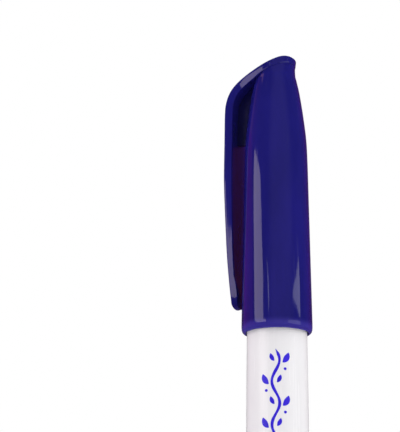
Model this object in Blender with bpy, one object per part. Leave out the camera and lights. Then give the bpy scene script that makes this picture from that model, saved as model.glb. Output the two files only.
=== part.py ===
"""Fabric marking pen with a pull-off clip cap, standing on its tail.

Metres, +Z up the pen. The origin is the centre of the rear plug's flat end, and the clip is on -X.
"""

from math import cos, pi, sin, sqrt

import bmesh
import bpy
from mathutils import Matrix, Vector

MM = 0.001
SIDES = 40
SHARP_ANGLE = 0.6

# Driving heights along the pen, in millimetres from the flat tail end.
PLUG_FLANGE = 2.7
BARREL_REAR = 3.0
CAP_MOUTH = 80.95
BARREL_FRONT = 89.6
SECTION_SEAT = 89.9
GRIP_TOP = 106.6
COLLAR_BASE = 115.2
COLLAR_TOP = 120.6
NIB_TIP = 126.2

# Driving radii, in millimetres.
BARREL_RADIUS = 6.12
BARREL_FRONT_RADIUS = 5.95
BARREL_BORE = 5.1
SPIGOT_RADIUS = 4.8
GRIP_RADIUS = 5.28
COLLAR_RADIUS = 2.83
NIB_RADIUS = 2.0
NIB_BORE = 2.25
RESERVOIR_BORE = 4.35
FILM_RADIUS = 4.05
FILM_BORE = 3.85
CORE_RADIUS = 3.55

# Ribs that centre the reservoir in the barrel.
RIB_COUNT = 5
RIB_REACH = 0.7
RIB_REAR = 12.0
RIB_FRONT = 72.0

# The cap, in millimetres above its mouth.
CAP_STOP = 8.95
CAP_MOUTH_BORE = 6.25
CAP_GRIP_BORE = 5.6
LINER_BASE = 35.15
LINER_TOP = 47.05
LINER_BORE = 3.1
CROWN_RADIUS = 4.3
CROWN_REAR_HALF_WIDTH = 0.45
CROWN_NECK_X = -8.5
STRAP_THICKNESS = 1.8
STRAP_HALF_WIDTH = 3.6
WEB_HALF_WIDTH = 0.6
WEB_BASE = 40.45
CLIP_REACH = 10.2
CLIP_TIP = 5.6
CLIP_TIP_HALF_WIDTH = 2.3
CLIP_END_HALF_WIDTH = 0.8
CLIP_END_ROUND = 0.9
CLIP_TAPER_TOP = 32.4
CLIP_THINNING = 0.6
CLIP_SPLIT_GAP = 0.3
NOSE_HEIGHT = 8.75
NOSE_HALF_LENGTH = 3.3
NOSE_RISE = 0.92

# The points that the moving pieces hang on: the cap's sliding axis and the clip's hinge.
CAP_AXIS = Vector((0, 0, CAP_MOUTH))
CLIP_AXIS = Vector((STRAP_THICKNESS / 2 - CLIP_REACH, 0, CAP_MOUTH + WEB_BASE))

COLOURS = {
    "barrel_white": ((0.87, 0.86, 0.88), 0.28),
    "cap_indigo": ((0.022, 0.014, 0.16), 0.16),
    "section_indigo": ((0.022, 0.014, 0.16), 0.16),
    "nib_fibre": ((0.07, 0.02, 0.02), 0.75),
    "plug_white": ((0.85, 0.84, 0.86), 0.35),
    "reservoir_fibre": ((0.05, 0.04, 0.30), 0.9),
    "reservoir_film": ((0.55, 0.55, 0.65), 0.25),
    "liner_white": ((0.80, 0.80, 0.82), 0.45),
}


def clear_scene():
    for obj in list(bpy.data.objects):
        bpy.data.objects.remove(obj, do_unlink=True)


def material(name):
    """A Principled material with the colour and roughness of one kind of plastic or fibre."""
    found = bpy.data.materials.get(name)
    if found:
        return found
    colour, roughness = COLOURS[name]
    made = bpy.data.materials.new(name)
    made.use_nodes = True
    shader = made.node_tree.nodes["Principled BSDF"]
    shader.inputs["Base Color"].default_value = (*colour, 1.0)
    shader.inputs["Roughness"].default_value = roughness
    shader.inputs["Metallic"].default_value = 0.0
    return made


def add_empty(name, location, parent=None):
    """An empty on a joint's axis, which carries the pieces that move with it."""
    empty = bpy.data.objects.new(name, None)
    empty.location = location * MM
    empty.parent = parent
    bpy.context.scene.collection.objects.link(empty)
    return empty


def add_piece(name, mesh, material_name, holder=None, axis_point=Vector()):
    """Adds a piece whose mesh is in the pen's frame. A moving one hangs on the empty at its axis point."""
    mesh.transform(Matrix.Translation(-axis_point * MM))
    mesh.materials.clear()
    mesh.materials.append(material(material_name))
    mesh.shade_smooth()
    mesh.set_sharp_from_angle(angle=SHARP_ANGLE)
    piece = bpy.data.objects.new(name, mesh)
    piece.parent = holder
    bpy.context.scene.collection.objects.link(piece)


def mesh_from(name, points, faces):
    """A closed mesh from points in millimetres, its faces turned outwards."""
    mesh = bpy.data.meshes.new(name)
    mesh.from_pydata([Vector(point) * MM for point in points], [], faces)
    work = bmesh.new()
    work.from_mesh(mesh)
    bmesh.ops.recalc_face_normals(work, faces=work.faces)
    work.to_mesh(mesh)
    work.free()
    return mesh


def arc(centre, radius, start, end, steps):
    """Points (r, z) of an arc, angles in degrees from +r towards +z."""
    found = []
    for step in range(steps + 1):
        angle = (start + (end - start) * step / steps) * pi / 180
        found.append((centre[0] + radius * cos(angle), centre[1] + radius * sin(angle)))
    return found


def smooth_curve(knots, steps):
    """Points of a Catmull-Rom curve through the knots, with this many steps between each two."""
    padded = [knots[0], *knots, knots[-1]]
    found = []
    for four in zip(padded, padded[1:], padded[2:], padded[3:]):
        before, start, end, after = (Vector(knot) for knot in four)
        for step in range(steps):
            t = step / steps
            linear = (end - before) * t
            square = (2 * before - 5 * start + 4 * end - after) * t**2
            cubic = (3 * start - before - 3 * end + after) * t**3
            found.append(tuple(start + (linear + square + cubic) / 2))
    found.append(knots[-1])
    return found


def turned(name, profile, bore_of=None):
    """A turned solid from a closed (r, z) profile in millimetres; points at r = 0 close it on the axis.

    bore_of(r, z, side) may move a point of the bore in or out by the side that it is on.
    """
    points = []
    rings = []
    for radius, height in profile:
        if radius == 0:
            rings.append([len(points)] * SIDES)
            points.append((0, 0, height))
            continue
        rings.append(list(range(len(points), len(points) + SIDES)))
        for side in range(SIDES):
            angle = 2 * pi * side / SIDES
            here = bore_of(radius, height, side) if bore_of else radius
            points.append((here * cos(angle), here * sin(angle), height))
    faces = []
    for lower, upper in zip(rings, rings[1:] + rings[:1]):
        for side in range(SIDES):
            following = (side + 1) % SIDES
            corners = [lower[side], lower[following], upper[following], upper[side]]
            face = list(dict.fromkeys(corners))
            if len(face) > 2:
                faces.append(face)
    return mesh_from(name, points, faces)


def join_bodies(name, base, others, cutters):
    """One mesh from base after cutting it with the cutters and joining the others to it."""
    obj = bpy.data.objects.new(name + "_work", base)
    bpy.context.scene.collection.objects.link(obj)
    helpers = []
    for operation, meshes in (("DIFFERENCE", cutters), ("UNION", others)):
        for mesh in meshes:
            helper = bpy.data.objects.new(name + "_helper", mesh)
            bpy.context.scene.collection.objects.link(helper)
            modifier = obj.modifiers.new(operation, "BOOLEAN")
            modifier.operation = operation
            modifier.solver = "EXACT"
            modifier.object = helper
            helpers.append(helper)
    graph = bpy.context.evaluated_depsgraph_get()
    made = bpy.data.meshes.new_from_object(obj.evaluated_get(graph))
    made.name = name
    for helper in [obj, *helpers]:
        bpy.data.objects.remove(helper, do_unlink=True)
    return made


def prism(name, outline, half_width):
    """An (x, z) outline in millimetres, extruded across Y to both sides."""
    count = len(outline)
    points = [(x, -half_width, z) for x, z in outline] + [(x, half_width, z) for x, z in outline]
    faces = [list(range(count)), list(range(2 * count - 1, count - 1, -1))]
    for here in range(count):
        following = (here + 1) % count
        faces.append([here, count + here, count + following, following])
    return mesh_from(name, points, faces)


def barrel_mesh():
    """The white tube, a little fuller in the middle, with ribs inside that centre the reservoir."""
    outer = [
        (BARREL_FRONT_RADIUS - 0.45, BARREL_FRONT),
        (BARREL_FRONT_RADIUS - 0.12, BARREL_FRONT - 0.14),
        (BARREL_FRONT_RADIUS, BARREL_FRONT - 0.5),
        (5.98, CAP_MOUTH),
        (6.08, 68.0),
        (BARREL_RADIUS, 55.0),
        (BARREL_RADIUS, 20.0),
        (6.05, BARREL_REAR + 0.3),
        (5.8, BARREL_REAR),
    ]
    bore_heights = (BARREL_REAR, RIB_REAR - 1, RIB_REAR, RIB_FRONT, RIB_FRONT + 1, BARREL_FRONT)
    bore = [(BARREL_BORE, height) for height in bore_heights]
    rib_every = SIDES // RIB_COUNT

    def ribbed(radius, height, side):
        on_rib = side % rib_every in (0, 1) and RIB_REAR <= height <= RIB_FRONT
        return radius - RIB_REACH if on_rib and radius == BARREL_BORE else radius

    return turned("barrel", outer + bore, ribbed)


def rear_plug_mesh():
    """The end plug: a flange with a rounded edge, and a hollow spigot that steadies the reservoir."""
    profile = [
        (0, 0),
        (5.0, 0),
        *arc((5.0, 0.9), 0.9, -90, 0, 4)[1:],
        (5.95, PLUG_FLANGE - 0.2),
        (5.75, PLUG_FLANGE),
        (SPIGOT_RADIUS, PLUG_FLANGE),
        (SPIGOT_RADIUS, 9.6),
        (SPIGOT_RADIUS - 0.4, 10.2),
        (3.0, 10.2),
        (3.0, 4.2),
        (0, 4.2),
    ]
    return turned("rear_plug", profile)


def reservoir_core_mesh():
    """The fibre rod, with a pocket in its front end for the nib's tail."""
    front = 104.0
    profile = [
        (0, 11.0),
        (CORE_RADIUS, 11.0),
        (CORE_RADIUS, front),
        (NIB_BORE, front),
        (NIB_BORE, 97.6),
        (0, 97.6),
    ]
    return turned("reservoir_core", profile)


def reservoir_film_mesh():
    """The plastic sleeve, open at both ends."""
    profile = [(FILM_BORE, 10.8), (FILM_RADIUS, 10.8), (FILM_RADIUS, 103.4), (FILM_BORE, 103.4)]
    return turned("reservoir_film", profile)


def shoulder_points(steps):
    """The convex shoulder from the grip up to the foot of the collar."""
    knots = [
        (GRIP_RADIUS, GRIP_TOP),
        (5.1, GRIP_TOP + 1.5),
        (4.82, GRIP_TOP + 3.2),
        (4.45, GRIP_TOP + 4.6),
        (3.91, GRIP_TOP + 6.1),
        (3.3, GRIP_TOP + 7.5),
        (2.95, COLLAR_BASE),
    ]
    return smooth_curve(knots, steps)


def front_section_mesh():
    """Grip, shoulder and collar in one moulding, hollow for the reservoir and bored for the nib."""
    profile = [
        (SPIGOT_RADIUS - 0.3, 76.0),
        (SPIGOT_RADIUS, 76.4),
        (SPIGOT_RADIUS, SECTION_SEAT),
        (GRIP_RADIUS + 0.02, SECTION_SEAT),
        *shoulder_points(2),
        (COLLAR_RADIUS, COLLAR_BASE),
        (COLLAR_RADIUS, COLLAR_TOP - 0.45),
        (COLLAR_RADIUS - 0.3, COLLAR_TOP),
        (NIB_BORE, COLLAR_TOP),
        (NIB_BORE, 108.5),
        (RESERVOIR_BORE, 105.0),
        (RESERVOIR_BORE, 76.0),
    ]
    return turned("front_section", profile)


def nib_mesh():
    """The fibre bullet: a rounded point, a straight stem and a chamfered tail in the reservoir."""
    base = COLLAR_TOP + 1.4
    profile = [(0, 97.9), (1.3, 97.9), (NIB_RADIUS, 98.7), (NIB_RADIUS, base)]
    tip_rise = NIB_TIP - base
    for share in (0.25, 0.5, 0.7, 0.85, 0.95):
        profile.append((NIB_RADIUS * (1 - share**1.9) ** 0.72, base + tip_rise * share))
    profile.append((0, NIB_TIP))
    return turned("nib", profile)


def crown_outline():
    """Stations (x, z) of the strap's outer face, from the crown's rear edge over the top to the clip."""
    return [
        (CROWN_RADIUS, 57.25),
        (4.12, 57.82),
        (3.6, 58.09),
        (2.6, 57.82),
        (1.0, 57.15),
        (-1.2, 56.4),
        (-3.6, 55.65),
        (-5.8, 54.57),
        (-7.65, 53.17),
        (-8.97, 51.4),
        (-9.8, 49.35),
        (-10.12, 46.85),
        (-CLIP_REACH, WEB_BASE),
    ]


def clip_outline():
    """Stations (x, z) of the clip's outer face, from its root down to its rounded tip."""
    return [
        (-CLIP_REACH, WEB_BASE - CLIP_SPLIT_GAP),
        (-10.29, 33.4),
        (-10.25, 27.4),
        (-10.1, 21.9),
        (-9.84, 16.4),
        (-9.54, 11.4),
        (-9.29, 8.2),
        (-9.12, 6.4),
        (-8.95, CLIP_TIP),
    ]


def half_width_at(x, z):
    """Half the width of the strap: round over the crown, straight beside it, narrower down the clip."""
    if x > 0:
        return sqrt(max(CROWN_RADIUS**2 - x**2, CROWN_REAR_HALF_WIDTH**2))
    if z > CLIP_TAPER_TOP:
        share = min(x / CROWN_NECK_X, 1.0)
        ease = share * share * (3 - 2 * share)
        return CROWN_RADIUS + (STRAP_HALF_WIDTH - CROWN_RADIUS) * ease
    above_tip = z - CLIP_TIP
    share = above_tip / (CLIP_TAPER_TOP - CLIP_TIP)
    taper = CLIP_TIP_HALF_WIDTH + (STRAP_HALF_WIDTH - CLIP_TIP_HALF_WIDTH) * share
    if above_tip > CLIP_END_ROUND:
        return taper
    rounded = 1 - (1 - above_tip / CLIP_END_ROUND) ** 2
    return max(taper * sqrt(max(rounded, 0)), CLIP_END_HALF_WIDTH)


def inward_at(x, along):
    """The way the strap's thickness runs: straight down under the crown, square to the face on the clip."""
    share = min(max((-x - 2.0) / 4.0, 0.0), 1.0)
    down = Vector((0, -1))
    square = Vector((-along.y, along.x))
    return down.lerp(square, share).normalized()


def strap_mesh(name, stations, steps, thickness_at):
    """A strap with softened edges, lofted along the stations of its outer face."""
    line = smooth_curve(stations, steps)
    points = []
    rings = []
    for here, (x, z) in enumerate(line):
        before = Vector(line[max(here - 1, 0)])
        after = Vector(line[min(here + 1, len(line) - 1)])
        inward = inward_at(x, (after - before).normalized())
        thickness = thickness_at(x, z)
        width = half_width_at(x, z)
        edge = min(0.3, width / 2)
        section = [
            (-width, thickness / 2),
            (-width, edge),
            (-width + edge, 0),
            (width - edge, 0),
            (width, edge),
            (width, thickness / 2),
            (width, thickness - edge),
            (width - edge, thickness),
            (-width + edge, thickness),
            (-width, thickness - edge),
        ]
        rings.append(list(range(len(points), len(points) + len(section))))
        for across, depth in section:
            place_at = Vector((x, z)) + inward * depth
            points.append((place_at.x, across, place_at.y + CAP_MOUTH))
    faces = [rings[0][::-1], rings[-1]]
    count = len(rings[0])
    for lower, upper in zip(rings, rings[1:]):
        for corner in range(count):
            following = (corner + 1) % count
            faces.append([lower[corner], lower[following], upper[following], upper[corner]])
    return mesh_from(name, points, faces)


def cap_body_mesh():
    """The turned cup of the cap, open at its mouth, with a stop inside for the barrel's rim."""
    outer = [
        (6.35, 0),
        (6.64, 0.1),
        (6.87, 0.33),
        (7.0, 0.7),
        (7.05, 1.2),
        (7.04, 2.5),
        (6.92, 9.45),
        (6.76, 18.45),
        (6.6, 27.45),
        (6.45, 35.45),
        (6.25, 40.45),
        (5.78, 44.85),
        (5.28, 48.55),
        (4.84, 51.25),
        (4.4, 53.35),
        (4.12, 54.65),
        (4.05, 56.95),
        (0, 56.95),
    ]
    inner = [
        (0, 48.65),
        (3.6, 48.65),
        (4.4, 45.95),
        (4.75, 43.45),
        (5.05, 37.05),
        (5.3, 32.45),
        (CAP_GRIP_BORE, 26.45),
        (CAP_GRIP_BORE, CAP_STOP + 0.6),
        (CAP_MOUTH_BORE, CAP_STOP),
        (CAP_MOUTH_BORE, 0.25),
    ]
    return turned("cap_body", [(radius, height + CAP_MOUTH) for radius, height in outer + inner])


def crown_cutter_mesh():
    """Everything above the middle of the crown plate, which the cup must not reach."""
    crown = [(x, z) for x, z in crown_outline() if x > -7.0]
    line = [(x, z - STRAP_THICKNESS / 2 + CAP_MOUTH) for x, z in smooth_curve(crown, 2)]
    over = CAP_MOUTH + 70
    outline = [(8.0, over), (8.0, line[0][1]), *line, (-12.0, line[-1][1]), (-12.0, over)]
    return prism("crown_cutter", outline, 8.0)


def web_mesh():
    """The rib between the strap and the cup, which carries the root of the clip."""
    outline = [
        (-9.4, WEB_BASE),
        (-5.7, WEB_BASE),
        (-4.4, 49.45),
        (-2.5, 55.0),
        (-5.0, 53.8),
        (-7.2, 52.3),
        (-8.6, 50.4),
        (-9.4, 47.9),
    ]
    return prism("web", [(x, z + CAP_MOUTH) for x, z in outline], WEB_HALF_WIDTH)


def cap_shell_mesh():
    strap = strap_mesh("strap", crown_outline(), 3, lambda x, z: STRAP_THICKNESS)
    return join_bodies("cap_shell", cap_body_mesh(), [web_mesh(), strap], [crown_cutter_mesh()])


def clip_thickness(x, z):
    """The arm thins towards its tip, where a nose on its inner side grips the cloth."""
    arm = STRAP_THICKNESS - CLIP_THINNING * max(CLIP_TAPER_TOP - z, 0) / (CLIP_TAPER_TOP - CLIP_TIP)
    nose = NOSE_RISE * max(0.0, 1 - ((z - NOSE_HEIGHT) / NOSE_HALF_LENGTH) ** 2)
    return arm + nose


def cap_clip_mesh():
    return strap_mesh("cap_clip", clip_outline(), 3, clip_thickness)


def inner_cap_mesh():
    """The sealing cup that closes round the collar, with a flange that snaps into the cap."""
    profile = [
        (LINER_BORE + 0.5, LINER_BASE),
        (4.6, LINER_BASE),
        (4.6, LINER_BASE + 1.3),
        (4.2, LINER_BASE + 1.6),
        (4.1, 45.05),
        (3.3, LINER_TOP),
        (0, LINER_TOP),
        (0, LINER_TOP - 0.9),
        (2.5, LINER_TOP - 0.9),
        (LINER_BORE, 44.25),
        (LINER_BORE, LINER_BASE + 0.6),
    ]
    return turned("inner_cap", [(radius, height + CAP_MOUTH) for radius, height in profile])


def build():
    clear_scene()
    cap_slide = add_empty("cap_slide_axis", CAP_AXIS)
    clip_hinge = add_empty("clip_hinge_axis", CLIP_AXIS - CAP_AXIS, cap_slide)
    add_piece("barrel", barrel_mesh(), "barrel_white")
    add_piece("rear_plug", rear_plug_mesh(), "plug_white")
    add_piece("reservoir_core", reservoir_core_mesh(), "reservoir_fibre")
    add_piece("reservoir_film", reservoir_film_mesh(), "reservoir_film")
    add_piece("front_section", front_section_mesh(), "section_indigo")
    add_piece("nib", nib_mesh(), "nib_fibre")
    add_piece("cap_shell", cap_shell_mesh(), "cap_indigo", cap_slide, CAP_AXIS)
    add_piece("inner_cap", inner_cap_mesh(), "liner_white", cap_slide, CAP_AXIS)
    add_piece("cap_clip", cap_clip_mesh(), "cap_indigo", clip_hinge, CLIP_AXIS)


build()
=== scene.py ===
"""The looks of a capped fabric marking pen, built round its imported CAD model.

Shapes are in millimetres in the CAD model's frame: +Z up the pen from its flat tail, the clip on -X.
"""

from math import cos, pi, radians, sin, sqrt, tan

import bmesh
import bpy
import numpy as np
from mathutils import Matrix, Vector, noise


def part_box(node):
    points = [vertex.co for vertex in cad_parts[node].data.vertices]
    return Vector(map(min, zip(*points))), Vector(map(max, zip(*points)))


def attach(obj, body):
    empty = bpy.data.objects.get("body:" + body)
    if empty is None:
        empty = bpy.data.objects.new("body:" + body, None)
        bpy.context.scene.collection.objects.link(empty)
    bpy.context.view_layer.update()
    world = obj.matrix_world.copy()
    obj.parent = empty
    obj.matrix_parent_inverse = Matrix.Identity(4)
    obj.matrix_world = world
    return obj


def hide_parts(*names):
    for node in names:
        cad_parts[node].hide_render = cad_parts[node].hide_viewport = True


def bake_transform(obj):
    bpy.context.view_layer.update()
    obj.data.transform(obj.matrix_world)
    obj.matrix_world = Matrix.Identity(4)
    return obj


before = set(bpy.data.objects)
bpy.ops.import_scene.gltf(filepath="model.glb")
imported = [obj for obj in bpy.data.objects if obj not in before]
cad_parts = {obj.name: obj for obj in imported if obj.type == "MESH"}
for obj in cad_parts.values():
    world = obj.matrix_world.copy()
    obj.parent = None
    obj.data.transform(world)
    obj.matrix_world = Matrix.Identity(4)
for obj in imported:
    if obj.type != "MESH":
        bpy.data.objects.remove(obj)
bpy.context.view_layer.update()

MM = 0.001

# How meshes are made. WELD, the distance at which points are joined, is in metres.
AROUND = 160
CREASE = radians(38)
WELD = 1e-7
ARC_STEPS = 5
GUARD_REACH = 1.5


def node_box(node):
    """A CAD node's lowest and highest corners, in millimetres."""
    low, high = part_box(node)
    return low / MM, high / MM


BARREL_LOW, BARREL_HIGH = node_box("barrel")
PLUG_LOW, PLUG_HIGH = node_box("rear_plug")
SECTION_LOW, SECTION_HIGH = node_box("front_section")
NIB_LOW, NIB_HIGH = node_box("nib")
CAP_LOW, CAP_HIGH = node_box("cap_shell")
LINER_LOW, LINER_HIGH = node_box("inner_cap")
CLIP_LOW, _ = node_box("cap_clip")

# The pen.
REAR = BARREL_LOW.z
FRONT = BARREL_HIGH.z
BARREL_RADIUS = BARREL_HIGH.x
BARREL_BORE = 5.1
SPIGOT_RADIUS = 4.8
PLUG_RADIUS = PLUG_HIGH.x
PLUG_FLANGE = 2.7
PLUG_BORE = 3.0
PLUG_FLOOR = 4.2
DIMPLE_DEPTH = 0.45
NUB_DEPTH = 0.28
GRIP_RADIUS = SECTION_HIGH.x
GRIP_BASE = FRONT + 0.3
GRIP_TOP = SECTION_HIGH.z - 14.0
COLLAR_RADIUS = 2.83
COLLAR_BASE = SECTION_HIGH.z - 5.4
COLLAR_TOP = SECTION_HIGH.z
NIB_RADIUS = NIB_HIGH.x
NIB_TAIL_RADIUS = 1.3
NIB_BORE = 2.25
NIB_SEAT = 108.5
NIB_POINT_BASE = COLLAR_TOP + 1.4
NIB_POINT_STEPS = 40
NIB_RIDGES = 9
NIB_ROUGHNESS = 0.012
RESERVOIR_BORE = 4.35
RESERVOIR_SEAT = 105.0

# The cap. Heights in its outlines are above its mouth.
MOUTH = CAP_LOW.z
CAP_RADIUS = CAP_HIGH.x
SLANT_BASE = 49.45
# The painted glow at the cap's mouth is full below the first height and gone above the second.
RIM_GLOW_BASE = 0.6
RIM_GLOW_TOP = 2.3
CROWN_RADIUS = 4.3
CROWN_NECK_X = -8.5
STRAP_THICKNESS = 1.8
STRAP_HALF_WIDTH = 3.6
STRAP_DOME = 0.05
STRAP_EDGE = 0.3
STRAP_INNER_EDGE = 0.05
CROWN_INNER_EDGE = 0.4
STRAP_DRAFT = 0.07
STRAP_STEP = 0.55
REAR_STEPS = 20
TIP_STEPS = 16
OUTER_EDGE_STEPS = 6
INNER_EDGE_STEPS = 5
# Guard points down the strap's side wall, as shares of its height.
WALL_GUARDS = (0.35, 0.95)
# Where the strap's thickness turns from straight down to square to its face, as x.
LEAN_START = -2.0
LEAN_END = -6.0
# Where its inner edge turns from the clip's to the crown's, as x.
CLIP_EDGE_END = -4.0
CROWN_EDGE_START = -1.0
WEB_BASE = 40.45
WEB_HALF_WIDTH = 0.6
WEB_BEVEL = 0.1
CLIP_REACH = 10.2
CLIP_TIP = CLIP_LOW.z - MOUTH
CLIP_TIP_HALF_WIDTH = 1.8
CLIP_END_ROUND = 1.0
CLIP_TAPER_TOP = 32.4
CLIP_TAPER_CURVE = 0.6
CLIP_THINNING = 0.65
NOSE_HEIGHT = 8.75
NOSE_HALF_LENGTH = 3.3
NOSE_RISE = 0.35

# The printed vine on the barrel. LEAF and SMALL_LEAF are a length and a half width.
VINE_ANGLE = radians(-70)
VINE_TOP = MOUTH - 4.2
VINE_FOOT = REAR + 12.0
VINE_WAVE = 8.4
VINE_SWING = 0.75
VINE_HALF_WIDTH = 0.27
VINE_STEPS_PER_MM = 5
LEAF = (2.3, 0.55)
LEAF_LEAN = radians(48)
LEAF_STEPS = 14
SMALL_LEAF = (1.656, 0.385)
SMALL_LEAF_LEAN = radians(40)
BUD_RADIUS = 0.28
BUD_STEPS = 12
PRINT_LIFT = 0.02
PRINT_DEPTH = 0.04

# The colours. A pair is a darker and a lighter shade that the material varies between.
INDIGO = ((0.0085, 0.0075, 0.13), (0.0115, 0.0095, 0.16))
# A darker indigo for the web: painted shade, for the deep recess between the strap and the cup.
SHADED_WEB_INDIGO = ((0.005, 0.0045, 0.045), (0.006, 0.0055, 0.06))
# The next colour is a painted glow at the cap's mouth, standing in for light through its thin wall.
PAINTED_RIM_GLOW = (0.036, 0.028, 0.27)
BARREL_WHITE = ((0.83, 0.82, 0.84), (0.86, 0.85, 0.87))
PLUG_WHITE = ((0.82, 0.81, 0.83), (0.85, 0.84, 0.86))
LINER_WHITE = ((0.74, 0.73, 0.78), (0.80, 0.80, 0.82))
FILM_GREY = ((0.50, 0.50, 0.62), (0.56, 0.56, 0.66))
PRINT_BLUE = ((0.022, 0.006, 0.60), (0.035, 0.012, 0.74))
NIB_BROWN = ((0.022, 0.006, 0.008), (0.06, 0.018, 0.016))
NIB_SHEEN = (1.0, 0.62, 0.5)
RESERVOIR_BLUE = ((0.02, 0.015, 0.16), (0.07, 0.06, 0.36))
WHITE = (1.0, 1.0, 1.0)

# The grain of the materials: features per metre, and depths in metres.
FLOW_GRAIN = 160
HAIR_GRAIN = 2600
HAIR_SHARPNESS = 6.0
HAZE_GRAIN = 420
SINK_GRAIN = 130
SINK_DEPTH = 6e-6
PEEL_GRAIN = 2400
PEEL_DEPTH = 1.5e-6
INK_GRAIN = 900
STRAND_GRAIN = 3200
STRAND_DEPTH = 2e-5
SOAK_GRAIN = 500
FLOOR_GRAIN = 6

# The camera looks up at the pen from low in front of it. CAMERA_NEAR and CAMERA_FAR are in metres.
CAMERA_DISTANCE = 300.0
CAMERA_PITCH = radians(16.4)
CAMERA_TURN = radians(26.0)
CAMERA_ROLL = radians(0.55)
CAMERA_SIDE = -15.5
AIM_HEIGHT = 105.2
LENS = 123.17
SENSOR = 36.0
CAMERA_NEAR = 0.01
CAMERA_FAR = 20.0

# The studio. Directions are seen from the pen: degrees to the right of the camera, degrees above level.
PANEL_DISTANCE = 500.0
# Each panel has its corners, its colour and its strength. PANELS are only seen in reflections, and LIGHTS
# only light the scene.
PANELS = {
    "left_panel": (
        [
            (-66, 0),
            (-38, 0),
            (-39, 10.5),
            (-46, 10.5),
            (-48.5, 12),
            (-49, 14),
            (-53, 16),
            (-58, 18.5),
            (-61, 20),
            (-90, 22.5),
            (-91, 19),
        ],
        (1.0, 0.86, 0.9),
        2.4,
    ),
    "slat_panel": ([(-30, 12), (-28, 13), (-30, 14), (-37, 15.5), (-32, 13.5)], (0.95, 0.93, 1.0), 2.0),
    "right_panel": (
        [(49, 13), (55, 12.5), (78, 11), (79, 13.5), (76, 15), (64, 14)],
        (0.95, 0.93, 1.0),
        2.0,
    ),
    "low_panel": ([(33, -11), (78, -11), (78, 9), (33, 9)], WHITE, 1.0),
    "wall_panel": (
        [(-140, -10), (-63, -8), (-88, 12.5), (-101, 21), (-109, 26), (-140, 26)],
        (1.0, 0.1, 0.75),
        0.22,
    ),
    "upper_panel": ([(-140, 26), (-109, 26), (-112, 28), (-118, 50), (-140, 50)], (1.0, 0.4, 0.7), 0.22),
    "side_panel": ([(-175, -10), (-140, -10), (-140, 50), (-175, 50)], (1.0, 0.5, 0.7), 0.09),
    "glint_panel": ([(-112, 40.5), (-84, 41.5), (-84, 47), (-112, 46)], (1.0, 0.5, 0.5), 0.9),
}
LIGHTS = {
    "left_light": ([(-115, 12), (-45, 12), (-45, 60), (-115, 60)], (1.0, 0.95, 0.97), 2.3),
    "right_light": ([(22, 12), (120, 12), (120, 60), (22, 60)], WHITE, 2.7),
}
FLOOR_RADIUS = 3000.0
FLOOR_SIDES = 96
FLOOR_GAP = 0.05
# The fill goes by height, from level to straight up. The room in the pen's reflections goes from 0, opposite
# ROOM_FRONT, to 1 in its direction.
FILL_STRENGTH = 2.0
FILL_STOPS = [(0.0, (0.16, 0.16, 0.16)), (0.6, (0.18, 0.18, 0.18)), (1.0, WHITE)]
FLOOR_STOPS = [(0.3, (0.80, 0.80, 0.80)), (0.7, (0.83, 0.83, 0.83))]
ROOM_FRONT = (12, 20)
ROOM_STOPS = [
    (0.12, (0.12, 0.08, 0.14)),
    (0.26, (0.10, 0.012, 0.03)),
    (0.36, (0.10, 0.02, 0.035)),
    (0.6, (0.05, 0.045, 0.06)),
    (0.86, (0.05, 0.05, 0.06)),
    (0.95, (0.20, 0.18, 0.24)),
]


def share_between(value, start, end):
    """How far a value is on the way from start to end, held between 0 and 1."""
    return min(max((value - start) / (end - start), 0.0), 1.0)


def quarter_turn(steps):
    """The angles of this many even steps from 0 to 90 degrees, with both ends."""
    return [pi / 2 * step / steps for step in range(steps + 1)]


def smooth_curve(knots, steps):
    """Points of a Catmull-Rom curve through the knots, with this many steps between each two."""
    padded = [knots[0], *knots, knots[-1]]
    found = []
    for four in zip(padded, padded[1:], padded[2:], padded[3:]):
        before, start, end, after = (Vector(knot) for knot in four)
        for step in range(steps):
            t = step / steps
            linear = (end - before) * t
            square = (2 * before - 5 * start + 4 * end - after) * t**2
            cubic = (3 * start - before - 3 * end + after) * t**3
            found.append(tuple(start + (linear + square + cubic) / 2))
    found.append(tuple(knots[-1]))
    return found


def rounded(corners):
    """The closed line through (r, z, radius) corners: an arc at each, between two guard points."""
    found = []
    for here, (r, z, radius) in enumerate(corners):
        if not radius:
            found.append((r, z))
            continue
        corner = Vector((r, z))
        back = (Vector(corners[here - 1][:2]) - corner).normalized()
        on = (Vector(corners[(here + 1) % len(corners)][:2]) - corner).normalized()
        half = back.angle(on) / 2
        reach = radius / tan(half)
        centre = corner + (back + on).normalized() * radius / sin(half)
        start = corner + back * reach - centre
        end = corner + on * reach - centre
        found.append(tuple(corner + back * reach * GUARD_REACH))
        for step in range(ARC_STEPS + 1):
            found.append(tuple(centre + start.lerp(end, step / ARC_STEPS).normalized() * radius))
        found.append(tuple(corner + on * reach * GUARD_REACH))
    return found


def plain(points):
    """Points of a smooth run, as corners that stay as they are."""
    return [(r, z, 0) for r, z in points]


def radius_along(line):
    """The radius of a line of (r, z) points as a function of the height."""
    ordered = sorted((z, r) for r, z in line)
    heights = [z for z, r in ordered]
    radii = [r for z, r in ordered]
    return lambda z: float(np.interp(z, heights, radii))


def mesh_from(name, points, faces):
    """A closed, smooth mesh from points in millimetres, its faces turned outwards."""
    mesh = bpy.data.meshes.new(name)
    mesh.from_pydata([Vector(point) * MM for point in points], [], faces)
    work = bmesh.new()
    work.from_mesh(mesh)
    bmesh.ops.remove_doubles(work, verts=work.verts, dist=WELD)
    bmesh.ops.recalc_face_normals(work, faces=work.faces)
    work.to_mesh(mesh)
    work.free()
    mesh.shade_smooth()
    mesh.set_sharp_from_angle(angle=CREASE)
    return mesh


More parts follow.
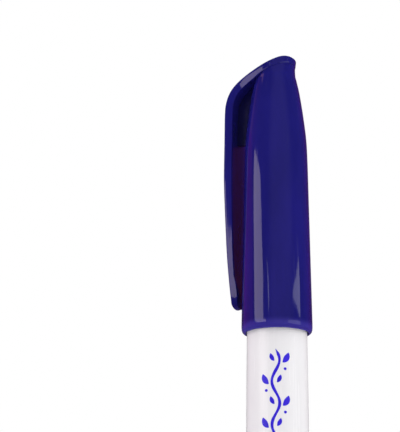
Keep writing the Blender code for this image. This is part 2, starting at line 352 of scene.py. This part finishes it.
def turned(name, line, shift=None):
    """A turned mesh from a closed (r, z) line; shift(r, z, angle) may move a point in r and z."""
    points = []
    rings = []
    for r, z in line:
        sides = AROUND if r else 1
        ring = list(range(len(points), len(points) + sides))
        rings.append(ring if r else ring * AROUND)
        for side in range(sides):
            angle = 2 * pi * side / AROUND
            out, up = shift(r, z, angle) if shift else (r, z)
            points.append((out * cos(angle), out * sin(angle), up))
    faces = []
    for lower, upper in zip(rings, rings[1:] + rings[:1]):
        for side in range(AROUND):
            following = (side + 1) % AROUND
            corners = [lower[side], lower[following], upper[following], upper[side]]
            face = list(dict.fromkeys(corners))
            if len(face) > 2:
                faces.append(face)
    return mesh_from(name, points, faces)


def add_piece(name, mesh, material):
    mesh.materials.append(material)
    piece = bpy.data.objects.new(name, mesh)
    bpy.context.scene.collection.objects.link(piece)
    return piece


# Materials.


def feed(tree, socket, value):
    """Sets a socket to a constant, or links it to an output."""
    if isinstance(value, bpy.types.NodeSocket):
        tree.links.new(value, socket)
    else:
        socket.default_value = value


def add_node(tree, kind, settings=None, **inputs):
    """A shader node with its settings; an input is a constant or the output that it is linked to."""
    node = tree.nodes.new(kind)
    for name, value in (settings or {}).items():
        setattr(node, name, value)
    for name, value in inputs.items():
        feed(tree, node.inputs[name.replace("_", " ")], value)
    return node


def calculated(tree, operation, first, second):
    """What a Math node makes of two values, each a constant or an output."""
    node = add_node(tree, "ShaderNodeMath", {"operation": operation})
    feed(tree, node.inputs[0], first)
    feed(tree, node.inputs[1], second)
    return node.outputs[0]


def blended(tree, factor, first, second):
    """The first shader where the factor is 0, and the second where it is 1."""
    node = add_node(tree, "ShaderNodeMixShader", Fac=factor)
    feed(tree, node.inputs[1], first)
    feed(tree, node.inputs[2], second)
    return node.outputs[0]


def ramp(tree, factor, stops):
    """A colour ramp over (position, colour) stops."""
    node = add_node(tree, "ShaderNodeValToRGB", Fac=factor)
    elements = node.color_ramp.elements
    while len(elements) < len(stops):
        elements.new(0.5)
    for element, (position, colour) in zip(elements, stops):
        element.position = position
        element.color = (*colour, 1.0)
    return node.outputs["Color"]


def spread(tree, factor, low, high):
    """A factor from 0 to 1, spread over low to high."""
    node = add_node(tree, "ShaderNodeMapRange", Value=factor, To_Min=low, To_Max=high)
    return node.outputs["Result"]


def noise_at(tree, scale, stretch=(1, 1, 1), detail=3.0):
    """A noise over the piece's own coordinates; a stretch below 1 draws it out along that axis."""
    place = add_node(tree, "ShaderNodeTexCoord").outputs["Object"]
    mapped = add_node(tree, "ShaderNodeMapping", Vector=place, Scale=stretch).outputs["Vector"]
    made = add_node(tree, "ShaderNodeTexNoise", Vector=mapped, Scale=scale, Detail=detail)
    return made.outputs[0]


def bumped(tree, height, distance, below=None):
    """The normal after a bump of this height in metres, on top of another bump's normal if there is one."""
    node = add_node(tree, "ShaderNodeBump", Strength=1.0, Distance=distance, Height=height)
    if below:
        feed(tree, node.inputs["Normal"], below)
    return node.outputs["Normal"]


def new_material(name, **constants):
    """A material with its tree and its Principled shader, which has these constants."""
    material = bpy.data.materials.new(name)
    material.use_nodes = True
    tree = material.node_tree
    shader = tree.nodes["Principled BSDF"]
    for socket, value in constants.items():
        shader.inputs[socket.replace("_", " ")].default_value = value
    return material, tree, shader


def painted_rim_glow(tree, colour, rim):
    """Paints a glow into the colour near the cap's mouth: painted light standing in for light that comes
    through the thin wall.
    """
    place = add_node(tree, "ShaderNodeTexCoord").outputs["Object"]
    height = add_node(tree, "ShaderNodeSeparateXYZ", Vector=place).outputs["Z"]
    near = add_node(
        tree,
        "ShaderNodeMapRange",
        {"interpolation_type": "SMOOTHSTEP"},
        Value=height,
        From_Min=(MOUTH + RIM_GLOW_TOP) * MM,
        From_Max=(MOUTH + RIM_GLOW_BASE) * MM,
    )
    share = near.outputs["Result"]
    mixed = add_node(tree, "ShaderNodeMixRGB", Fac=share, Color1=colour, Color2=(*rim, 1.0))
    return mixed.outputs["Color"]


def plastic(name, shades, gloss, haze, rim=None):
    """Moulded plastic: flow marks in its colour, handling haze and hairlines in its gloss, and orange peel.

    A rim colour paints a glow of light into the cap's mouth.
    """
    material, tree, shader = new_material(name, IOR=1.5)
    dark, light = shades
    colour = ramp(tree, noise_at(tree, FLOW_GRAIN, stretch=(1, 1, 0.35)), [(0.35, dark), (0.65, light)])
    if rim:
        colour = painted_rim_glow(tree, colour, rim)
    feed(tree, shader.inputs["Base Color"], colour)
    scratches = noise_at(tree, HAIR_GRAIN, stretch=(1, 1, 0.04), detail=2.0)
    hairs = calculated(tree, "POWER", scratches, HAIR_SHARPNESS)
    handled = spread(tree, noise_at(tree, HAZE_GRAIN, detail=5.0), gloss, haze)
    feed(tree, shader.inputs["Roughness"], calculated(tree, "ADD", handled, hairs))
    sink = bumped(tree, noise_at(tree, SINK_GRAIN, detail=1.0), SINK_DEPTH)
    peel = bumped(tree, noise_at(tree, PEEL_GRAIN, detail=2.0), PEEL_DEPTH, sink)
    feed(tree, shader.inputs["Normal"], peel)
    return material


def ink(name, shades):
    """Printed ink, a little thinner in places."""
    material, tree, shader = new_material(name, IOR=1.45)
    dark, light = shades
    cover = noise_at(tree, INK_GRAIN, detail=4.0)
    feed(tree, shader.inputs["Base Color"], ramp(tree, cover, [(0.3, dark), (0.75, light)]))
    feed(tree, shader.inputs["Roughness"], spread(tree, cover, 0.25, 0.45))
    return material


def fibre(name, shades, gloss, tint):
    """Bonded fibres that run along the pen: streaked colour and fine ridges, under a tinted sheen."""
    material, tree, shader = new_material(name, IOR=1.5, Specular_Tint=(*tint, 1.0))
    dark, light = shades
    strands = noise_at(tree, STRAND_GRAIN, stretch=(1, 1, 0.12), detail=4.0)
    soaked = noise_at(tree, SOAK_GRAIN, detail=3.0)
    streaks = calculated(tree, "MULTIPLY", strands, spread(tree, soaked, 0.5, 1.6))
    feed(tree, shader.inputs["Base Color"], ramp(tree, streaks, [(0.3, dark), (0.75, light)]))
    feed(tree, shader.inputs["Roughness"], spread(tree, soaked, gloss, gloss + 0.2))
    feed(tree, shader.inputs["Normal"], bumped(tree, strands, STRAND_DEPTH))
    return material


# The pen's own pieces.


def barrel_line():
    """The barrel's outside: full behind the middle and slimmer towards the front."""
    knots = [
        (BARREL_RADIUS - 0.07, REAR),
        (BARREL_RADIUS, REAR + 17),
        (BARREL_RADIUS, REAR + 52),
        (BARREL_RADIUS - 0.04, MOUTH - 12.4),
        (BARREL_RADIUS - 0.14, MOUTH),
        (BARREL_RADIUS - 0.17, FRONT),
    ]
    return smooth_curve(knots, 5)


def make_barrel(material):
    outer = barrel_line()
    line = [
        (outer[0][0], REAR, 0.3),
        *plain(outer[1:-1]),
        (outer[-1][0], FRONT, 0.45),
        (BARREL_BORE, FRONT, 0.2),
        (BARREL_BORE, REAR, 0.2),
    ]
    piece = add_piece("barrel_tube", turned("barrel_tube", rounded(line)), material)
    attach(piece, "pen")
    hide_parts("barrel")


def make_plug(material):
    """The tail plug, with the shallow dimple and the nub that its mould gate leaves."""
    flange = PLUG_LOW.z + PLUG_FLANGE
    line = [
        (0, NUB_DEPTH, 0),
        (0.45, NUB_DEPTH, 0.1),
        (0.6, DIMPLE_DEPTH, 0.1),
        (1.7, DIMPLE_DEPTH, 0.1),
        (2.1, 0, 0.15),
        (PLUG_RADIUS - 0.05, 0, 0.9),
        (PLUG_RADIUS, flange, 0.15),
        (SPIGOT_RADIUS, flange, 0.1),
        (SPIGOT_RADIUS, PLUG_HIGH.z, 0.35),
        (PLUG_BORE, PLUG_HIGH.z, 0.2),
        (PLUG_BORE, PLUG_FLOOR, 0.3),
        (0, PLUG_FLOOR, 0),
    ]
    piece = add_piece("tail_plug", turned("tail_plug", rounded(line)), material)
    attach(piece, "pen")
    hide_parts("rear_plug")


def shoulder_line():
    """The convex shoulder from the grip up to the foot of the collar."""
    knots = [
        (GRIP_RADIUS, GRIP_BASE + 8),
        (GRIP_RADIUS - 0.02, GRIP_TOP),
        (5.1, GRIP_TOP + 1.5),
        (4.82, GRIP_TOP + 3.2),
        (4.45, GRIP_TOP + 4.6),
        (3.91, GRIP_TOP + 6.1),
        (3.3, GRIP_TOP + 7.5),
        (2.95, COLLAR_BASE),
    ]
    return smooth_curve(knots, 6)


def make_section(material):
    """Grip, shoulder and collar in one moulding."""
    line = [
        (SPIGOT_RADIUS, SECTION_LOW.z, 0.3),
        (SPIGOT_RADIUS, GRIP_BASE, 0.06),
        (GRIP_RADIUS, GRIP_BASE, 0.12),
        *plain(shoulder_line()),
        (COLLAR_RADIUS, COLLAR_BASE + 0.04, 0),
        (COLLAR_RADIUS, COLLAR_BASE + 0.3, 0),
        (COLLAR_RADIUS, COLLAR_TOP, 0.28),
        (NIB_BORE, COLLAR_TOP, 0.1),
        (NIB_BORE, NIB_SEAT, 0.3),
        (RESERVOIR_BORE, RESERVOIR_SEAT, 0.4),
        (RESERVOIR_BORE, SECTION_LOW.z, 0.1),
    ]
    piece = add_piece("grip_section", turned("grip_section", rounded(line)), material)
    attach(piece, "pen")
    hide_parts("front_section")


def make_nib(material):
    """The fibre bullet, its skin faintly ridged by its fibres."""
    rise = NIB_HIGH.z - NIB_POINT_BASE
    line = [(0, NIB_LOW.z), (NIB_TAIL_RADIUS, NIB_LOW.z), (NIB_RADIUS, NIB_LOW.z + 0.8)]
    line += [(NIB_RADIUS, NIB_POINT_BASE - 4 + step / 4) for step in range(16)]
    for step in range(NIB_POINT_STEPS):
        share = sin(step / NIB_POINT_STEPS * pi / 2)
        line.append((NIB_RADIUS * (1 - share**1.9) ** 0.72, NIB_POINT_BASE + rise * share))
    line.append((0, NIB_HIGH.z))

    def ridged(r, z, angle):
        strand = noise.noise(Vector((NIB_RIDGES * cos(angle), NIB_RIDGES * sin(angle), z * 0.5)))
        lump = noise.noise(Vector((r * cos(angle), r * sin(angle), z)) * 0.9)
        return (r * (1 - NIB_ROUGHNESS * abs(strand) - NIB_ROUGHNESS * abs(lump)), z)

    piece = add_piece("fibre_nib", turned("fibre_nib", line, ridged), material)
    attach(piece, "pen")
    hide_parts("nib")


# The print on the barrel: a vine of one waving stem, with leaves and buds beside it.


def stem_stations():
    """The waving stem as (across, height, half width) stations, tapered at both ends."""
    length = VINE_TOP - VINE_FOOT
    count = int(length * VINE_STEPS_PER_MM)
    found = []
    for step in range(count + 1):
        down = length * step / count
        end = min(down, length - down)
        width = VINE_HALF_WIDTH * min(1.0, 0.15 + end / 1.2)
        across = VINE_SWING * sin(2 * pi * down / VINE_WAVE)
        found.append((across, VINE_TOP - down, width * (1 + 0.12 * sin(down * 1.9))))
    return found


def leaf_stations(across, height, lean, length, half_width):
    """A pointed leaf that starts here, curving away from the stem."""
    found = []
    for step in range(LEAF_STEPS + 1):
        share = step / LEAF_STEPS
        turn = lean * (1.15 - 0.5 * share)
        across_here = across + length * share * sin(turn)
        height_here = height + length * share * cos(turn)
        found.append((across_here, height_here, 0.02 + half_width * sin(pi * share) ** 0.8))
    return found


def bud_stations(across, height, radius):
    """A round dot."""
    found = []
    for step in range(BUD_STEPS + 1):
        angle = pi * step / BUD_STEPS
        found.append((across, height - radius * cos(angle), 0.01 + radius * sin(angle)))
    return found


def vine_strokes():
    """The stem and, at each of its crests, a leaf and a bud outside it and a small leaf inside it."""
    strokes = [stem_stations()]
    turns = int((VINE_TOP - VINE_FOOT) / VINE_WAVE * 2)
    for turn in range(turns):
        side = 1 if turn % 2 == 0 else -1
        height = VINE_TOP - (turn + 0.5) * VINE_WAVE / 2
        crest = side * VINE_SWING
        strokes.append(leaf_stations(crest + side * 0.6, height - 0.5, side * LEAF_LEAN, *LEAF))
        strokes.append(leaf_stations(-side * 0.25, height - 0.2, -side * SMALL_LEAF_LEAN, *SMALL_LEAF))
        strokes.append(bud_stations(crest + side * 1.1, height - 1.75, BUD_RADIUS))
    return strokes


def make_print(material):
    """Every stroke is a thin slab that follows the barrel and stands a little proud of it.

    A station has six corners: three on the slab's face and three sunk in the barrel.
    """
    barrel_radius = radius_along(barrel_line())
    corners = 6
    points = []
    faces = []
    for stations in vine_strokes():
        first = len(points)
        for here, (across, height, half_width) in enumerate(stations):
            before = stations[max(here - 1, 0)]
            after = stations[min(here + 1, len(stations) - 1)]
            way = Vector((after[0] - before[0], after[1] - before[1])).normalized()
            side = Vector((way.y, -way.x)) * half_width
            surface = barrel_radius(height)
            for lift, edges in ((PRINT_LIFT, (-1, 0, 1)), (-PRINT_DEPTH, (1, 0, -1))):
                for edge in edges:
                    angle = VINE_ANGLE + (across + side.x * edge) / surface
                    radius = surface + lift
                    points.append((radius * cos(angle), radius * sin(angle), height + side.y * edge))
        for here in range(len(stations) - 1):
            start = first + here * corners
            end = start + corners
            for corner in range(corners):
                following = (corner + 1) % corners
                faces.append([start + corner, start + following, end + following, end + corner])
        last = len(points) - corners
        faces.append([first + corner for corner in range(corners)])
        faces.append([last + corner for corner in range(corners)])
    piece = add_piece("printed_vine", mesh_from("printed_vine", points, faces), material)
    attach(piece, "pen")


# The cap.


def cap_line():
    """The cap's outside from the widest part of its lip to its crown, in heights above its mouth."""
    knots = [
        (CAP_RADIUS, 1.2),
        (CAP_RADIUS - 0.01, 2.5),
        (6.92, 9.45),
        (6.76, 18.45),
        (6.6, 27.45),
        (6.45, 35.45),
        (6.25, 40.45),
        (5.78, 44.85),
        (5.28, 48.55),
        (4.84, 51.25),
        (4.4, 53.35),
        (4.12, 54.65),
        (4.05, 56.95),
    ]
    return smooth_curve(knots, 10)


def crown_knots():
    """The strap's outer face as (x, height), from the crown's rear to the clip's tip."""
    return [
        (CROWN_RADIUS, 58.07),
        (3.6, 58.09),
        (2.6, 57.82),
        (1.0, 57.15),
        (-1.2, 56.35),
        (-3.6, 55.35),
        (-5.8, 54.25),
        (-7.65, 52.95),
        (-8.97, 51.4),
        (-9.8, 49.35),
        (-10.12, 46.85),
        (-CLIP_REACH, WEB_BASE),
        (-10.29, 33.4),
        (-10.2, 27.4),
        (-10.05, 21.9),
        (-9.87, 16.4),
        (-9.56, 11.4),
        (-9.32, 8.2),
        (-9.19, 6.4),
        (-9.15, CLIP_TIP),
    ]


class StrapPath:
    """The strap's outer face as a path: places, inward directions and widths at a length along it."""

    def __init__(self):
        line = np.array(smooth_curve(crown_knots(), 24))
        steps = np.hypot(*np.diff(line, axis=0).T)
        self.at = np.concatenate([[0], np.cumsum(steps)])
        self.x, self.z = line.T
        self.length = self.at[-1]
        self.x_slope = np.gradient(self.x, self.at)
        self.z_slope = np.gradient(self.z, self.at)

    def place(self, along):
        return np.interp(along, self.at, self.x), np.interp(along, self.at, self.z)

    def along_of_x(self, x):
        """The length along the path at which the crown reaches x."""
        return float(np.interp(-x, -self.x, self.at))

    def inward(self, along):
        """Straight down under the crown, square to the face on the clip."""
        x, _ = self.place(along)
        way = Vector((np.interp(along, self.at, self.x_slope), np.interp(along, self.at, self.z_slope)))
        way.normalize()
        share = share_between(x, LEAN_START, LEAN_END)
        return Vector((0, -1)).lerp(Vector((-way.y, way.x)), share).normalized()

    def half_width(self, along):
        """Round over the crown, straight beside it, narrower down the clip, and round at its tip."""
        x, z = self.place(along)
        if x > 0:
            return sqrt(max(CROWN_RADIUS**2 - x**2, 0))
        if z > CLIP_TAPER_TOP:
            share = min(x / CROWN_NECK_X, 1.0)
            ease = share * share * (3 - 2 * share)
            return CROWN_RADIUS + (STRAP_HALF_WIDTH - CROWN_RADIUS) * ease
        share = max(z - CLIP_TIP, 0) / (CLIP_TAPER_TOP - CLIP_TIP)
        taper = CLIP_TIP_HALF_WIDTH + (STRAP_HALF_WIDTH - CLIP_TIP_HALF_WIDTH) * share**CLIP_TAPER_CURVE
        left = self.length - along
        if left > CLIP_END_ROUND:
            return taper
        return taper * sqrt(max(1 - (1 - left / CLIP_END_ROUND) ** 2, 0))

    def thickness(self, along):
        """The arm thins towards its tip, where a nose on its inner side grips the cloth."""
        _, z = self.place(along)
        arm = STRAP_THICKNESS - CLIP_THINNING * max(CLIP_TAPER_TOP - z, 0) / (CLIP_TAPER_TOP - CLIP_TIP)
        return arm + NOSE_RISE * max(0.0, 1 - ((z - NOSE_HEIGHT) / NOSE_HALF_LENGTH) ** 2)

    def inner_edge(self, along):
        """The inner edge is rounder over the cup than on the clip."""
        x, _ = self.place(along)
        share = share_between(x, CLIP_EDGE_END, CROWN_EDGE_START)
        return STRAP_INNER_EDGE + (CROWN_INNER_EDGE - STRAP_INNER_EDGE) * share

    def stations(self):
        """Lengths along the path, closer together round both ends."""
        rear = [self.along_of_x(CROWN_RADIUS * cos(angle)) for angle in quarter_turn(REAR_STEPS)[:-1]]
        middle_start = self.along_of_x(0)
        middle_end = self.length - CLIP_END_ROUND
        count = int((middle_end - middle_start) / STRAP_STEP)
        middle = [middle_start + (middle_end - middle_start) * step / count for step in range(count)]
        tip = [middle_end + CLIP_END_ROUND * sin(angle) for angle in quarter_turn(TIP_STEPS)]
        return rear + middle + tip


def edge_steps(thickness, inner_edge):
    """(inset, depth) of the strap's rounded edges and side wall, from its outer face to its inner one."""
    found = []
    for angle in quarter_turn(OUTER_EDGE_STEPS):
        found.append((STRAP_EDGE * (1 - sin(angle)), STRAP_DOME + STRAP_EDGE * (1 - cos(angle))))
    wall = thickness - STRAP_DOME - STRAP_EDGE - inner_edge
    for share in WALL_GUARDS:
        found.append((STRAP_DRAFT * thickness * share, STRAP_DOME + STRAP_EDGE + wall * share))
    for angle in quarter_turn(INNER_EDGE_STEPS):
        inset = STRAP_DRAFT * thickness + inner_edge * (1 - cos(angle))
        found.append((inset, thickness - inner_edge * (1 - sin(angle))))
    return found


def make_strap(material):
    """The crown plate and the clip in one strap, with rounded edges and a slightly domed face."""
    path = StrapPath()
    across_steps = 10
    stations = path.stations()
    outline = [(along, path.half_width(along)) for along in stations]
    points = []
    rings = []
    for here, (along, width) in enumerate(outline):
        before = outline[here - 1] if here else (outline[1][0], -outline[1][1])
        last = here + 1 == len(outline)
        after = (outline[-2][0], -outline[-2][1]) if last else outline[here + 1]
        out = Vector((before[1] - after[1], after[0] - before[0])).normalized()
        ring = []
        edge = edge_steps(path.thickness(along), path.inner_edge(along))
        sides = [(along - inset * out.x, max(width - inset * out.y, 0.0), depth) for inset, depth in edge]
        face_along, face_width, _ = sides[0]
        for step in range(1, across_steps):
            share = 2 * step / across_steps - 1
            ring.append((face_along, share * face_width, STRAP_DOME * share * share))
        ring += sides
        inner_along, inner_width, inner_depth = sides[-1]
        for step in range(1, across_steps):
            share = 1 - 2 * step / across_steps
            ring.append((inner_along, share * inner_width, inner_depth))
        ring += [(at, -side, depth) for at, side, depth in reversed(sides)]
        rings.append(list(range(len(points), len(points) + len(ring))))
        for at, across, depth in ring:
            at = min(max(at, 0.0), path.length)
            x, z = path.place(at)
            inward = path.inward(at)
            points.append((x + inward.x * depth, across, MOUTH + z + inward.y * depth))
    faces = []
    for lower, upper in zip(rings, rings[1:]):
        for corner in range(len(lower)):
            following = (corner + 1) % len(lower)
            faces.append([lower[corner], lower[following], upper[following], upper[corner]])
    piece = add_piece("crown_and_clip", mesh_from("crown_and_clip", points, faces), material)
    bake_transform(piece)
    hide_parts("cap_clip")


def make_web(material):
    """The rib between the strap and the cap, which carries the root of the clip."""
    outline = [
        (-9.4, WEB_BASE),
        (-5.75, WEB_BASE),
        (-4.4, 49.45),
        (-2.5, 55.0),
        (-5.0, 53.8),
        (-7.2, 52.3),
        (-8.6, 50.4),
        (-9.4, 47.9),
    ]
    count = len(outline)
    points = [(x, side * WEB_HALF_WIDTH, z + MOUTH) for side in (-1, 1) for x, z in outline]
    faces = [list(range(count)), list(range(count, 2 * count))]
    for here in range(count):
        following = (here + 1) % count
        faces.append([here, following, count + following, count + here])
    piece = add_piece("clip_web", mesh_from("clip_web", points, faces), material)
    bevel = piece.modifiers.new("soft_edges", "BEVEL")
    bevel.width = WEB_BEVEL * MM
    bevel.segments = 4
    bevel.harden_normals = True
    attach(piece, "cap")


def make_cap_body(material):
    """The cup of the cap, cut off on a slant under the crown plate, with a stop inside for the barrel."""
    path = StrapPath()
    outer = cap_line()
    radius_at = radius_along(outer)
    top = outer[-1][1]
    lip = [
        (6.28, 0.0, 0),
        (6.4, 0.0, 0),
        (6.64, 0.09, 0),
        (6.86, 0.31, 0),
        (7.0, 0.68, 0),
    ]
    inner = [
        (0, 48.65, 0),
        (3.6, 48.65, 0.6),
        (4.4, 45.95, 0),
        (4.75, 43.45, 0),
        (5.05, 37.05, 0),
        (5.3, 32.45, 0),
        (5.6, 26.45, 0),
        (5.6, 9.55, 0.1),
        (6.25, 8.95, 0.1),
        (6.25, 0.2, 0),
    ]
    line = rounded([*lip, *plain(outer), (0, top, 0), *inner])

    def slanted(r, z, angle):
        if z <= SLANT_BASE:
            return (r, z + MOUTH)
        _, crown = path.place(path.along_of_x(r * cos(angle)))
        share = (z - SLANT_BASE) / (top - SLANT_BASE)
        height = SLANT_BASE + share * (crown - STRAP_THICKNESS / 2 - SLANT_BASE)
        return (radius_at(height) if r else 0, height + MOUTH)

    piece = add_piece("cap_body", turned("cap_body", line, slanted), material)
    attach(piece, "cap")
    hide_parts("cap_shell")


def make_liner(material):
    """The sealing cup that closes round the collar."""
    low = LINER_LOW.z
    high = LINER_HIGH.z
    line = [
        (3.6, low, 0.1),
        (4.6, low, 0.2),
        (4.6, low + 1.3, 0.2),
        (4.2, low + 1.6, 0.1),
        (4.1, high - 2.0, 0),
        (3.3, high, 0.4),
        (0, high, 0),
        (0, high - 0.9, 0),
        (2.5, high - 0.9, 0.3),
        (3.1, high - 2.8, 0),
        (3.1, low + 0.6, 0.1),
    ]
    piece = add_piece("cap_liner", turned("cap_liner", rounded(line)), material)
    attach(piece, "cap")
    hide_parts("inner_cap")


# The studio.


def make_camera():
    level = Vector((CAMERA_SIDE, -CAMERA_DISTANCE * cos(CAMERA_PITCH), 0))
    height = AIM_HEIGHT - CAMERA_DISTANCE * sin(CAMERA_PITCH)
    place = Matrix.Translation((level + Vector((0, 0, height))) * MM)
    turn = Matrix.Rotation(CAMERA_TURN, 4, "Z")
    pitch = Matrix.Rotation(pi / 2 + CAMERA_PITCH, 4, "X")
    roll = Matrix.Rotation(CAMERA_ROLL, 4, "Z")
    data = bpy.data.cameras.new("camera")
    data.lens = LENS
    data.sensor_width = SENSOR
    data.clip_start = CAMERA_NEAR
    data.clip_end = CAMERA_FAR
    camera = bpy.data.objects.new("camera", data)
    camera.matrix_world = turn @ place @ pitch @ roll
    bpy.context.scene.collection.objects.link(camera)
    bpy.context.scene.camera = camera


def studio_point(right_of_camera, above_level, distance):
    """A point seen from the pen in this direction, in degrees, at this distance in millimetres."""
    azimuth = CAMERA_TURN - pi / 2 + radians(right_of_camera)
    flat = distance * cos(radians(above_level))
    height = AIM_HEIGHT + distance * sin(radians(above_level))
    return Vector((flat * cos(azimuth), flat * sin(azimuth), height)) * MM


def make_panel(name, corners, colour, strength, shown):
    """A glowing panel, hidden from the camera. It is either shown in reflections or lights the scene."""
    mesh = bpy.data.meshes.new(name)
    points = [studio_point(*corner, PANEL_DISTANCE) for corner in corners]
    mesh.from_pydata(points, [], [list(range(len(points)))])
    material = bpy.data.materials.new(name)
    material.use_nodes = True
    tree = material.node_tree
    tree.nodes.clear()
    glow = add_node(tree, "ShaderNodeEmission", Color=(*colour, 1.0), Strength=strength)
    output = add_node(tree, "ShaderNodeOutputMaterial")
    feed(tree, output.inputs["Surface"], glow.outputs[0])
    mesh.materials.append(material)
    panel = bpy.data.objects.new(name, mesh)
    panel.visible_camera = False
    panel.visible_glossy = shown
    panel.visible_diffuse = not shown
    bpy.context.scene.collection.objects.link(panel)


def make_floor():
    """A plain pale floor just under the pen's tail, left out of the pen's reflections."""
    mesh = bpy.data.meshes.new("floor")
    turns = np.linspace(0, 2 * pi, FLOOR_SIDES, endpoint=False)
    ring = [Vector((cos(turn), sin(turn), 0)) * FLOOR_RADIUS * MM for turn in turns]
    mesh.from_pydata(ring, [], [list(range(len(ring)))])
    material, tree, shader = new_material("floor", Roughness=0.7)
    feed(tree, shader.inputs["Base Color"], ramp(tree, noise_at(tree, FLOOR_GRAIN), FLOOR_STOPS))
    mesh.materials.append(material)
    floor = bpy.data.objects.new("floor", mesh)
    floor.location.z = -FLOOR_GAP * MM
    floor.visible_glossy = False
    bpy.context.scene.collection.objects.link(floor)


def make_world():
    """White where it is looked at, a fill that is strongest overhead, and a dim room for reflections."""
    world = bpy.data.worlds.new("studio")
    world.use_nodes = True
    world.cycles.sampling_method = "NONE"
    tree = world.node_tree
    tree.nodes.clear()
    way = add_node(tree, "ShaderNodeTexCoord").outputs["Generated"]
    height = add_node(tree, "ShaderNodeSeparateXYZ", Vector=way).outputs["Z"]
    fill_shade = ramp(tree, height, FILL_STOPS)
    front = (studio_point(*ROOM_FRONT, 1) - studio_point(0, 0, 0)).normalized()
    facing = add_node(tree, "ShaderNodeVectorMath", {"operation": "DOT_PRODUCT"})
    feed(tree, facing.inputs[0], way)
    feed(tree, facing.inputs[1], front * 0.5)
    turned_to_front = calculated(tree, "ADD", facing.outputs["Value"], 0.5)
    room = add_node(tree, "ShaderNodeBackground", Color=ramp(tree, turned_to_front, ROOM_STOPS))
    fill = add_node(tree, "ShaderNodeBackground", Color=fill_shade, Strength=FILL_STRENGTH)
    white = add_node(tree, "ShaderNodeBackground", Color=(*WHITE, 1.0), Strength=1.0)
    rays = add_node(tree, "ShaderNodeLightPath")
    lit = blended(tree, rays.outputs["Is Glossy Ray"], fill.outputs[0], room.outputs[0])
    seen = blended(tree, rays.outputs["Is Camera Ray"], lit, white.outputs[0])
    output = add_node(tree, "ShaderNodeOutputWorld")
    feed(tree, output.inputs["Surface"], seen)
    bpy.context.scene.world = world


def make_studio():
    make_camera()
    make_world()
    make_floor()
    for name, panel in PANELS.items():
        make_panel(name, *panel, shown=True)
    for name, light in LIGHTS.items():
        make_panel(name, *light, shown=False)
    bpy.context.scene.view_settings.view_transform = "Standard"


def make_pen():
    make_barrel(plastic("white_plastic", BARREL_WHITE, 0.16, 0.24))
    make_plug(plastic("plug_plastic", PLUG_WHITE, 0.25, 0.36))
    make_section(plastic("section_plastic", INDIGO, 0.04, 0.08))
    make_nib(fibre("ink_fibre", NIB_BROWN, 0.35, NIB_SHEEN))
    make_print(ink("print_ink", PRINT_BLUE))
    # The cap's mouth gets a painted glow of light in its colour.
    cap = plastic("cap_plastic", INDIGO, 0.015, 0.045, rim=PAINTED_RIM_GLOW)
    make_cap_body(cap)
    # The web's material is darker as painted shade in its recess.
    make_web(plastic("shaded_web_plastic", SHADED_WEB_INDIGO, 0.1, 0.2))
    make_strap(cap)
    make_liner(plastic("liner_plastic", LINER_WHITE, 0.4, 0.5))
    film = plastic("film_plastic", FILM_GREY, 0.25, 0.35)
    reservoir = fibre("reservoir_ink", RESERVOIR_BLUE, 0.7, WHITE)
    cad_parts["reservoir_core"].material_slots[0].material = reservoir
    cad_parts["reservoir_film"].material_slots[0].material = film


make_pen()
make_studio()
